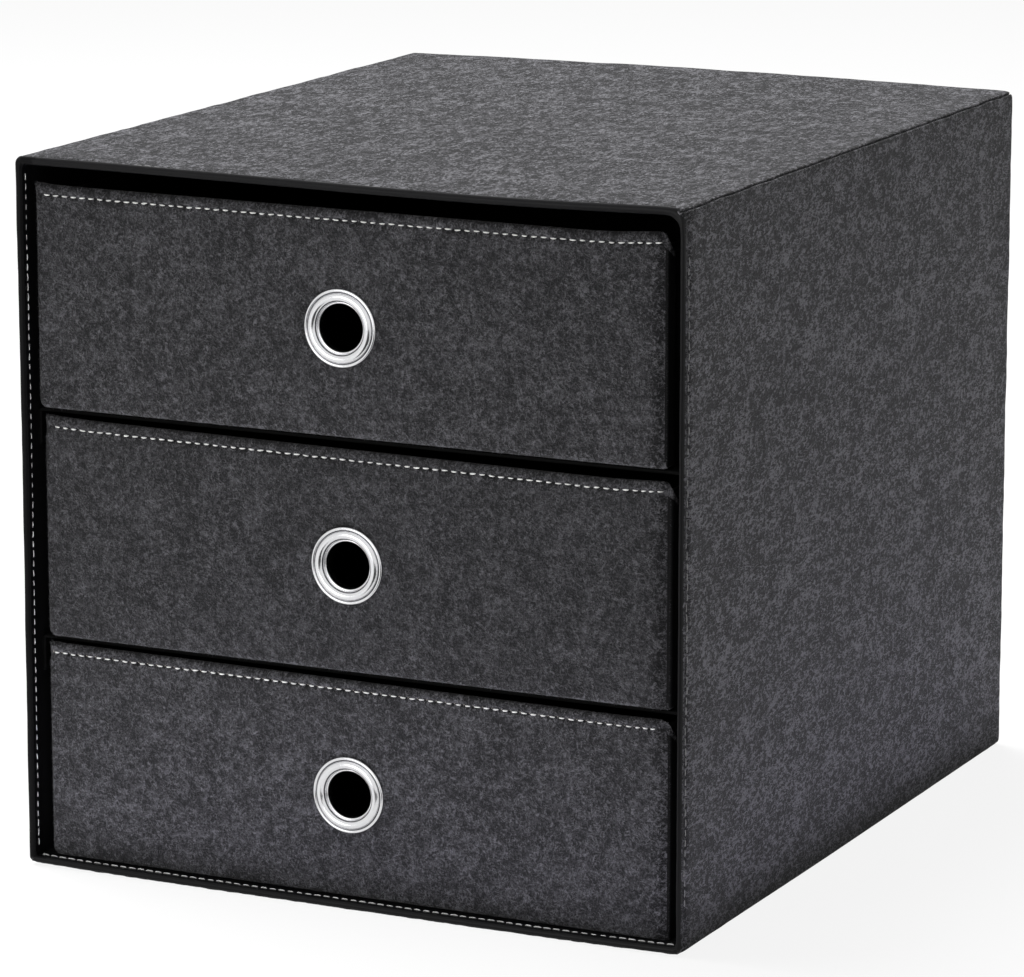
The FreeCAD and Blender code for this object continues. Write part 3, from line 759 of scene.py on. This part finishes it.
def rim_fuzz():
    """Hairs along the felt's cut edge round the rim."""
    count = 5200
    draw = np.random.default_rng(90)
    place, out = strewn(rounded_loop((-HALF, 0), (HALF, TOP), [FELT_RADIUS] * 4), count, draw)
    place -= out * draw.uniform(0.35, 1.0, (count, 1)) * FELT
    roots = np.stack([place[:, 0], FELT_FRONT + 0.15 + draw.uniform(0, 0.3, count), place[:, 1]], -1)
    keep = (roots[:, 2] > 2) & (roots[:, 0] > 1 - HALF)
    outward = np.stack([0.05 * out[:, 0], np.full(count, -1.0), 0.25 * out[:, 1]], -1)
    hairs, faces = fibres(roots[keep], outward[keep], 0.7, 0.38, 91)
    hairs[:, 2] = np.maximum(hairs[:, 2], 0.05)
    piece("rim_fuzz", (settled(hairs), faces), FELT_SKIN, "cabinet", "felt")


# Drawers

# Radii of a front: its side edges, the roll over its top, its face's lower corners, and its other corners.
FACE_RADIUS = 2.4
ROLL_RADIUS = 1.8
FOLD_RADIUS = 3.8
TOP_CORNER = 1.4
# How far the felt goes back along the tray, how far it hangs down behind the top, and how much narrower
# that part is on each side.
FELT_RETURN = 8.0
FELT_FOLD = 9.0
FOLD_INSET = 2.8

# How each sewn top edge runs: its mean rise, its tilt up to the left, and the lift of its two ends.
TOP_LINES = {
    "upper": (0.35, 0.55, 0.3, 1.5),
    "middle": (-0.1, 1.0, 0.5, 0.9),
    "lower": (-0.9, 0.75, 0.0, 0.3),
}
# How far each front draws in at its left and right edge, and over how wide a strip.
SIDE_TUCKS = {"upper": (0.0, 1.2), "middle": (0.8, 2.2), "lower": (0.8, 2.4)}
SIDE_TUCK_WIDTH = 14
# How much of the right tuck also takes in the sewn top edge.
EAR_TUCKS = {"upper": 1.0, "middle": 1.0, "lower": 0.5}
# How far the first stitch of each top seam lies from the left edge.
SEAM_STARTS = {"upper": 3.3, "middle": 3.3, "lower": 1.2}
# How steeply the returns' tops fall away backward, and how far in all.
RETURN_SLOPE = 1.15
RETURN_DROP = 7.2
# How far the roll's ends stand up and out, on the left and as a share of that on the right.
ROLL_END_RISE = 0.9
ROLL_END_SPREAD = 0.45
RIGHT_ROLL_END = 0.15
# How far the face is padded out, sinks under the eyelet and turns back along its right edge.
PADDING = 0.45
EYELET_SINK = 0.3
RIGHT_TURN = 1.5


class Drawer:
    """A drawer's sizes, read from its nodes, in its own frame: front face at y = 0, underside at z = 0."""

    def __init__(self, level):
        self.level = level
        self.body = f"{level}_drawer"
        low, high = limits(f"{level}_felt_front")
        self.origin = np.array([(low[0] + high[0]) / 2, low[1], low[2]])
        self.half = (high[0] - low[0]) / 2
        self.height = high[2] - low[2]
        low, high = self.limits("eyelet")
        self.eye_x = (low[0] + high[0]) / 2
        self.eye_z = (low[2] + high[2]) / 2
        self.eye_radius = (high[0] - low[0]) / 2
        self.eye_depth = high[1]
        low, high = self.limits("top_thread")
        self.seam_z = (low[2] + high[2]) / 2
        self.seam_start = SEAM_STARTS[level] - self.half

    def limits(self, name):
        """The corners of one of its nodes."""
        low, high = limits(f"{self.level}_{name}")
        return low - self.origin, high - self.origin

    def from_eye(self, points):
        """How far points lie from the axis of the eyelet."""
        return np.hypot(points[:, 0] - self.eye_x, points[:, 2] - self.eye_z)

    def add(self, name, surface, material, slot, *nodes):
        """Makes a piece that stands for nodes of this drawer."""
        surface = (surface[0] + self.origin, surface[1])
        nodes = [f"{self.level}_{node}" for node in nodes]
        return piece(f"{self.level}_{name}", surface, material, self.body, slot, *nodes)

    def top_line(self, x):
        """How far the top edge is out of true along the front."""
        mean, tilt, left, right = TOP_LINES[self.level]
        return mean - tilt * x / self.half + left * bell(x + self.half, 12) + right * bell(self.half - x, 16)

    def formed(self, surface):
        """A surface of the front in its hand-made form."""
        x, y, z = surface[0].T
        moved = surface[0].copy()
        aside = self.half - np.abs(x)
        share = np.clip(z / self.height, 0, 1)
        moved[:, 2] += self.top_line(x) * share ** 4
        fall = np.clip(RETURN_SLOPE * (y - 1.2), 0, RETURN_DROP)
        moved[:, 2] -= fade(aside, 1.7, 2.7) * share ** 8 * fall
        ends = bell(aside, 3.2) * bell(z - self.height, 3.0) * fade(y, 2.0, 4.5)
        ends *= np.where(x < 0, 1.0, RIGHT_ROLL_END)
        moved[:, 2] += ROLL_END_RISE * ends
        moved[:, 0] += ROLL_END_SPREAD * ends * np.sign(x)
        left_tuck, right_tuck = SIDE_TUCKS[self.level]
        ear_share = EAR_TUCKS[self.level]
        below_ear = fade(z, self.height - 4, self.height - 8)
        by_face = fade(y, 0, 3.2)
        moved[:, 0] += left_tuck * fade(x + self.half, 0, SIDE_TUCK_WIDTH) * by_face * below_ear
        right_tuck *= ear_share + (1 - ear_share) * below_ear
        moved[:, 0] -= right_tuck * fade(self.half - x, 0, SIDE_TUCK_WIDTH) * by_face
        eye = self.from_eye(surface[0])
        room = np.clip(aside / 30, 0, 1) * np.clip(z / 20, 0, 1) * np.clip((self.height - z) / 14, 0, 1)
        outward = PADDING * room * fade(eye, 40, 14) - EYELET_SINK * fade(eye, 13.5, 16.5)
        outward -= RIGHT_TURN * np.clip(1 - (self.half - x) / 6.5, 0, 1) ** 2
        moved[:, 1] -= fade(y, 0.5, 3.0) * outward
        return moved, surface[1]


def front_sheet(drawer):
    """The felt of a front before it is sewn: face, returns at the sides and below, and the roll on top."""
    half, height = drawer.half, drawer.height
    back = spaced((FELT_RETURN, -1.4), FACE_RADIUS)[:-1]
    left = [(-half, y) for y in back] + [(aside - half, y) for aside, y in quarter(FACE_RADIUS)]
    flat = [(x, 0) for x in spaced((FACE_RADIUS - half, 0.6), half - FACE_RADIUS)[1:-1]]
    across = np.array(left + flat + [(-x, y) for x, y in reversed(left)])
    bottom = [(y, 0) for y in back] + [(y, z) for z, y in quarter(FACE_RADIUS)]
    face = spaced((FACE_RADIUS, 0.8), (FACE_RADIUS + 6, 2.0), (drawer.seam_z - 4, 0.4), height - ROLL_RADIUS)
    face = [(0, z) for z in face[1:-1]]
    rise = height - ROLL_RADIUS
    over = [(ROLL_RADIUS * (1 - math.cos(turn)), rise + ROLL_RADIUS * math.sin(turn))
            for turn in np.linspace(0, math.pi, 13)]
    down = [(2 * ROLL_RADIUS, z) for z in spaced((rise, -1.2), height - FELT_FOLD)[1:]]
    upward = np.array(bottom + face + over + down)
    depth = across[None, :, 1] + upward[:, None, 0]
    points = np.stack(np.broadcast_arrays(across[None, :, 0], depth, upward[:, None, 1]), -1).reshape(-1, 3)
    faces = grid_faces(len(upward), len(across))
    row, column = np.divmod(faces[:, 0], len(across))
    top = len(bottom) + len(face) + len(over) // 2
    on_side = (column < len(back)) | (column >= len(across) - 1 - len(back))
    middle = middles(points, faces)
    left_out = on_side & ((row < len(back)) | (row >= top))
    left_out |= (row >= top) & (np.abs(middle[:, 0]) > half - FOLD_INSET)
    left_out |= drawer.from_eye(middle) < drawer.eye_radius - 2.4
    return points, faces[~left_out]


def round_corners(points, half, height):
    """Rounds the corners of a front as seen from before it: the lower ones more at the face than behind."""
    x, y, z = points.T
    for near, up, full_radius in ((z, 1, FOLD_RADIUS), (height - z, -1, TOP_CORNER)):
        radius = TOP_CORNER + (full_radius - TOP_CORNER) * fade(y, 0.8, 2.8)
        sideways = radius - (half - np.abs(x))
        upright = radius - near
        inside = (sideways > 0) & (upright > 0)
        sideways, upright = sideways[inside], upright[inside]
        share = np.maximum(sideways, upright) / np.hypot(sideways, upright)
        points[inside, 0] -= np.sign(x[inside]) * sideways * (1 - share)
        points[inside, 2] += up * upright * (1 - share)


def front_felt(drawer):
    """The felt front, drawn in along its seam, with a hole by each stitch."""
    points, faces = front_sheet(drawer)
    round_corners(points, drawer.half, drawer.height)
    x, y, z = points.T
    seam = z - drawer.seam_z
    hole_phase = np.cos(2 * math.pi * (x - drawer.seam_start) / STITCH_PITCH)
    front = fade(y, 0.3, 2.0)
    sewn = bell(seam, 0.65) * (0.36 + 0.16 * hole_phase)
    holes = 0.9 * bell(seam, 0.42) * np.clip(hole_phase, 0, 1) ** 5
    points[:, 1] += front * (sewn + holes)
    unevenness = 0.1 * ripple(points, 26, 101) + 0.05 * ripple(points, 8, 102)
    points[:, 1] -= front * unevenness * (1 - 0.8 * bell(seam, 1.5))
    ragged = 0.3 * ripple(points, 4, 103)
    points[:, 1] += ragged * fade(y, FELT_RETURN, FELT_RETURN - 1.5)
    surface = thickened(compact(points, faces), FELT)
    felt = DARKER_FELT if drawer.level == "middle" else FELT_SKIN
    made = drawer.add("felt_panel", drawer.formed(surface), felt, "felt", "felt_front")
    x, y, z = middles(*surface).T
    # The felt's right return is coloured as black cloth: painted shade where it lies in the dark gap by the
    # wall.
    recolour(made, CLOTH_SKIN, (x > drawer.half - 0.3) & (z < drawer.height - 5))


def top_thread(drawer):
    """The white stitches along the top of a front."""
    count = int((drawer.half - drawer.seam_start - 0.1) / STITCH_PITCH)
    places = np.zeros((count, 3))
    places[:, 0] = drawer.seam_start + STITCH_PITCH * (0.5 + np.arange(count))
    places[:, 1] = 0.22
    places[:, 2] = drawer.seam_z
    seed = 110 + LEVELS.index(drawer.level)
    right_end = fade(drawer.half - places[:, 0], 8, 26)
    sunk = 0.02 + 0.07 * right_end * (0.5 + 0.5 * ripple(places, 9, seed))
    surface = stitches(places, (1, 0, 0), (0, -1, 0), 2.25, 0.6, 0.24, seed, sunk)
    drawer.add("top_stitches", drawer.formed(surface), WHITE_THREAD, "thread", "top_thread")


def front_fuzz(drawer):
    """Hairs round the edges of a front."""
    count = 3400
    seed = 130 + LEVELS.index(drawer.level)
    draw = np.random.default_rng(seed)
    radii = (FOLD_RADIUS, FOLD_RADIUS, TOP_CORNER, TOP_CORNER)
    place, out = strewn(rounded_loop((-drawer.half, 0), (drawer.half, drawer.height), radii), count, draw)
    angle = draw.uniform(0.1, 1.4, count)
    place -= out * (FACE_RADIUS * (1 - np.sin(angle)))[:, None]
    roots = np.stack([place[:, 0], FACE_RADIUS * (1 - np.cos(angle)), place[:, 1]], -1)
    outward = np.stack([out[:, 0] * np.sin(angle), -np.cos(angle), out[:, 1] * np.sin(angle)], -1)
    hairs = fibres(roots, outward, 0.5, 0.5, seed + 10, width=0.04)
    drawer.add("front_fuzz", drawer.formed(hairs), FELT_SKIN, "felt")


EYELET_BORE = 8.5
# The groove beside the bead, painted black as shade: how far in from the ring's outer edge, and how far
# forward of the face.
GROOVE_START = 1.22
GROOVE_END = 1.37
GROOVE_RISE = 0.3


def arc(middle, radii, start, end, count):
    """Points on an ellipse in a ring's section: radius from the axis, and depth, which grows backward."""
    angle = np.linspace(start, end, count)
    return list(zip(middle[0] + radii[0] * np.cos(angle), middle[1] - radii[1] * np.sin(angle)))


def ring_profile(radius, bore, depth):
    """The eyelet's section: bead, groove (painted dark as shade), roll, lip, barrel and the curl behind the
    board.
    """
    lip_edge = bore + 0.85
    roll_edge = radius - 1.33
    bead = arc((radius - 0.65, -0.05), (0.65, 0.72), -0.6, math.pi - 0.55, 22)
    groove = [(radius - GROOVE_START, -GROOVE_RISE), (radius - GROOVE_END, -GROOVE_RISE)]
    roll = arc(((roll_edge + lip_edge) / 2, 0.0), ((roll_edge - lip_edge) / 2, 1.6), 0.24, math.pi, 44)
    lip = arc((bore + 0.42, 0.85), (0.42, 0.45), 0.0, math.pi, 14)
    barrel = [(bore, y) for y in (1.4, 2.2, depth - 1.4)]
    curl = arc((bore + 1.0, depth - 0.9), (1.0, 0.9), math.pi + 0.1, 2 * math.pi, 12)
    behind = [(bore + 2.0, depth - 1.2), (bore + 1.2, depth - 1.3), (bore + 1.2, 1.2), (bore + 1.6, 0.55),
              (radius - 0.6, 0.6)]
    return np.array(bead + groove + roll + lip + barrel + curl + behind)


def turned_ring(profile, segments=160):
    """A closed ring: the profile turned about the Y axis."""
    angle = np.linspace(0, 2 * math.pi, segments, endpoint=False)[:, None]
    radius, depth = profile.T
    points = np.stack(np.broadcast_arrays(radius * np.cos(angle), depth, radius * np.sin(angle)), -1)
    faces = grid_faces(segments + 1, len(profile), wrap=True) % (segments * len(profile))
    return points.reshape(-1, 3), faces


def eyelet(drawer):
    """The chromed finger ring, its groove painted with black cloth as shade."""
    points, faces = turned_ring(ring_profile(drawer.eye_radius, EYELET_BORE, drawer.eye_depth))
    x, y, z = middles(points, faces).T
    from_rim = drawer.eye_radius - np.hypot(x, z)
    painted_groove_shade = (from_rim > GROOVE_START - 0.02) & (from_rim < GROOVE_END + 0.02) & (y < 0.05 - GROOVE_RISE)
    surface = (points + (drawer.eye_x, 0, drawer.eye_z), faces)
    # The groove's faces get black cloth: painted shade.
    recolour(drawer.add("chrome_ring", surface, CHROME, "chrome", "eyelet"), CLOTH_SKIN, painted_groove_shade)


# The bend between a tray's floor and its walls, and the thickness of the lining's fold over the walls.
TRAY_BEND = 1.2
TRAY_HEM = 2.0


def tray_rings(low, high, stations, side_points):
    """A surface over rounded rectangles, closed inside the first: each station is (z, inset, radius)."""
    low, high = np.array(low[:2]), np.array(high[:2])
    loops = []
    for z, inset, radius in stations:
        ring = rounded_loop(low + inset, high - inset, [radius] * 4, side_points)
        loops.append(np.column_stack([ring, np.full(len(ring), z)]))
    middle_x, middle_y = (low + high) / 2
    middle_line = loops[0].copy()
    middle_line[:, 0] = middle_x
    middle_line[:, 1] = middle_y + 0.6 * (middle_line[:, 1] - middle_y)
    points = np.concatenate([middle_line] + loops)
    points, faces = welded(points, grid_faces(len(loops) + 1, len(middle_line), wrap=True))
    kinds = 1 + (np.diff(np.sort(faces, axis=1), axis=1) > 0).sum(axis=1)
    return points, faces[kinds > 2]


def tray_floor(z, radius):
    """The stations of a tray's floor, from its middle outward, and of the bend up to its walls."""
    flat = [(z, inset, radius) for inset in (110, 70, 30, 8, TRAY_BEND + 1)]
    return flat + [(z + rise, inset, radius) for rise, inset in quarter(TRAY_BEND, 6)]


def add_cloth(drawer, name, node, points, faces, length, seed):
    """Makes a piece of a tray's cloth, uneven on the walls only."""
    out = normals_of(points, faces)
    on_walls = 1 - np.abs(out[:, 2])
    points += out * (0.12 * ripple(points, length, seed) * on_walls)[:, None]
    drawer.add(name, thickened(compact(points, faces), CLOTH), CLOTH_SKIN, "cloth", node)


def tray_cover(drawer):
    """The black cloth outside a tray, which starts under the felt's returns."""
    low, high = drawer.limits("cover")
    walls = [(z, 0, 2.0) for z in spaced((low[2] + TRAY_BEND, 6.0), high[2] - 1.0)[1:]]
    points, faces = tray_rings((low[0], 1.5), high, tray_floor(low[2], 2.0) + walls, (60, 70, 60, 70))
    behind = middles(points, faces)[:, 1] > FELT_RETURN - 1.2
    add_cloth(drawer, "outer_cloth", "cover", points, faces[behind], 35, 150)


def tray_lining(drawer):
    """The black cloth inside a tray, which folds over the boards' top edge."""
    low, high = drawer.limits("lining")
    half_hem = TRAY_HEM / 2
    low += (TRAY_HEM, CLOTH, CLOTH)
    high -= (TRAY_HEM, TRAY_HEM, half_hem)
    walls = [(z, 0, 1.5) for z in spaced((low[2] + TRAY_BEND, 1.5), high[2] - 0.1)[1:]]
    over = []
    for turn in np.linspace(0, math.pi, 11)[1:]:
        outset = (half_hem + 0.2) * (1 - math.cos(turn))
        over.append((high[2] + half_hem * math.sin(turn), -outset, 2.5 - math.cos(turn)))
    outer = [(high[2] - drop, -TRAY_HEM - 0.4, 3.5) for drop in (0.6, 2.0)]
    stations = tray_floor(low[2], 1.5) + walls + over + outer
    points, faces = tray_rings(low, high, stations, (150, 70, 60, 70))
    faces = faces[:, ::-1]
    middle = middles(points, faces)
    under_fold = middle[:, 2] > drawer.height - 7.5
    hole = drawer.from_eye(middle) < drawer.eye_radius - 2.2
    left_out = (middle[:, 1] < low[1] + 0.3) & (under_fold | hole)
    add_cloth(drawer, "inner_cloth", "lining", points, faces[~left_out], 40, 151)


# How far the board behind a front keeps from its node's edges, so that the bent felt covers it.
BOARD_INSETS = {"right": 2.2, "bottom": 1.2, "top": 0.6}
# The radius at which its lower corners are cut.
BOARD_CORNER = 3.2


def front_board(drawer):
    """The board behind a felt front, bent with it, with cut lower corners and the hole for the eyelet."""
    low, high = drawer.limits("front_board")
    xs = spaced((low[0], 1.5), high[0] - BOARD_INSETS["right"])
    zs = spaced((low[2] + BOARD_INSETS["bottom"], 1.5), high[2] - BOARD_INSETS["top"])
    points, faces = box_surface((xs, low[1:2], zs), ["front"])
    middle = middles(points, faces)
    hole = drawer.from_eye(middle) < drawer.eye_radius - 4.0
    into_corner = np.abs(middle[:, 0]) + low[0] + BOARD_CORNER
    under_corner = low[2] + BOARD_CORNER - middle[:, 2]
    corner = (into_corner > 0) & (under_corner > 0) & (np.hypot(into_corner, under_corner) > BOARD_CORNER)
    surface = thickened((points, faces[~hole & ~corner]), high[1] - low[1])
    drawer.add("stiffener", drawer.formed(surface), GREY_BOARD, "board", "front_board")


def carried_over(drawer):
    """A tray's other boards and its washer keep their CAD shape and get their finish."""
    finishes = dict.fromkeys(("bottom_board", "left_board", "right_board", "back_board"), GREY_BOARD)
    for name, material in {**finishes, "washer": CHROME}.items():
        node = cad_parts[f"{drawer.level}_{name}"]
        node.data.materials.clear()
        node.data.materials.append(material)


# Scene

def camera():
    """A long lens from the right of the front, a little above."""
    azimuth = math.radians(25.80)
    elevation = math.radians(12.41)
    data = bpy.data.cameras.new("camera")
    data.sensor_fit = "HORIZONTAL"
    data.sensor_width = 36
    data.lens = 179.45
    data.clip_end = 50
    eye = bpy.data.objects.new("camera", data)
    bpy.context.collection.objects.link(eye)
    eye.location = (0.80471, -1.68454, 0.53242)
    eye.rotation_euler = (math.pi / 2 - elevation, 0, azimuth)
    bpy.context.scene.camera = eye


def soft_light(name, place, turn, size, power, reflected=False, colour=(1, 1, 1)):
    """A soft box that the camera doesn't see."""
    data = bpy.data.lights.new(name, "AREA")
    data.shape = "RECTANGLE"
    data.size, data.size_y = size
    data.energy = power
    data.color = colour
    light = bpy.data.objects.new(name, data)
    bpy.context.collection.objects.link(light)
    light.location = place
    light.rotation_euler = turn
    light.visible_glossy = reflected
    light.visible_camera = False


def lamp(name, place, size, power, reflected=True):
    """A square soft box that looks at the middle of the chest."""
    x, y, z = np.array([0, 0, TOP * MM / 2]) - place
    tilt = math.atan2(z, math.hypot(x, y)) + math.pi / 2
    soft_light(name, place, (tilt, 0, math.atan2(y, x) - math.pi / 2), (size, size), power, reflected)


def floor_bounce(name, low, high, power):
    """A faint bluish light shining up from a patch of the floor, low to high in plan, in millimetres."""
    low, high = np.array(low) * MM, np.array(high) * MM
    place = (*(low + high) / 2, 0.004)
    soft_light(name, place, (math.pi, 0, 0), high - low, power, colour=(0.84, 0.82, 1.0))


def seen_share(tree):
    """1 for rays from the camera, from shiny surfaces and through clear ones, else 0."""
    path = tree.nodes.new("ShaderNodeLightPath")
    share = maths(tree, "MAXIMUM", path.outputs["Is Camera Ray"], path.outputs["Is Glossy Ray"])
    return maths(tree, "MAXIMUM", share, path.outputs["Is Transmission Ray"])


# How bright the world is for the object, and how bright the floor glows for the camera and in reflections.
WORLD_LIGHT = 0.1
FLOOR_GLOW = 0.88


def white_world():
    """White where it is seen, and faint as a light."""
    world = bpy.data.worlds.new("world")
    bpy.context.scene.world = world
    world.use_nodes = True
    tree = world.node_tree
    strength = weighted(tree, WORLD_LIGHT, (seen_share(tree), 1 - WORLD_LIGHT))
    put_all(tree, tree.nodes["Background"], {"Color": (1, 1, 1, 1), "Strength": strength})


def stage_sheet(name, corners, height, finish):
    """A level sheet of the stage, with its node tree and its shader."""
    mesh = bpy.data.meshes.new(name)
    mesh.from_pydata([(x, y, height) for x, y in corners], [], [range(len(corners))])
    sheet = bpy.data.objects.new(name, mesh)
    bpy.context.collection.objects.link(sheet)
    material, tree, shader = new_material(name)
    put_all(tree, shader, finish)
    mesh.materials.append(material)
    return sheet, tree, shader


def pale_floor():
    """A wide floor that takes shadows and glows evenly where it is seen."""
    size = 6.0
    finish = {"Base Color": (0.9, 0.9, 0.9, 1), "Roughness": 0.9, "Specular IOR Level": 0.0}
    corners = ((-size, -size), (size, -size), (size, size), (-size, size))
    _, tree, shader = stage_sheet("floor", corners, 0, finish)
    glow = tree.nodes.new("ShaderNodeEmission")
    mix = tree.nodes.new("ShaderNodeMixShader")
    put(tree, mix.inputs[0], maths(tree, "MULTIPLY", seen_share(tree), FLOOR_GLOW))
    put(tree, mix.inputs[1], shader.outputs[0])
    put(tree, mix.inputs[2], glow.outputs[0])
    put(tree, tree.nodes["Material Output"].inputs["Surface"], mix.outputs[0])


def dark_card():
    """A card in front of the chest that only shiny things see: it gives the chrome its dark lines."""
    corners = ((-0.02, -0.27), (0.1, -1.6), (1.3, -1.2), (0.3, -0.25))
    finish = {"Base Color": (0.02, 0.02, 0.02, 1), "Roughness": 1.0}
    card, _, _ = stage_sheet("dark_card", corners, 0.003, finish)
    card.visible_camera = False
    card.visible_diffuse = False
    card.visible_shadow = False


camera()
cabinet_felt()
cabinet_lining()
cabinet_boards()
cabinet_shelves()
rim_threads()
rim_fuzz()
for level in LEVELS:
    drawer = Drawer(level)
    front_felt(drawer)
    top_thread(drawer)
    front_fuzz(drawer)
    eyelet(drawer)
    tray_cover(drawer)
    tray_lining(drawer)
    front_board(drawer)
    carried_over(drawer)

bpy.context.scene.view_settings.view_transform = "Standard"
white_world()
pale_floor()
dark_card()
lamp("top_light", (-0.9, 0.3, 1.9), 1.6, 118, reflected=False)
lamp("front_light", (-0.4, -2.0, 0.5), 1.0, 8.5)
lamp("side_light", (1.9, 0.9, 0.4), 1.2, 5.5)
floor_bounce("front_bounce", (-HALF, FRONT - 80), (HALF + 30, FRONT - 10), 0.14)
floor_bounce("side_bounce", (HALF + 15, FRONT - 5), (HALF + 115, BACK + 5), 0.18)
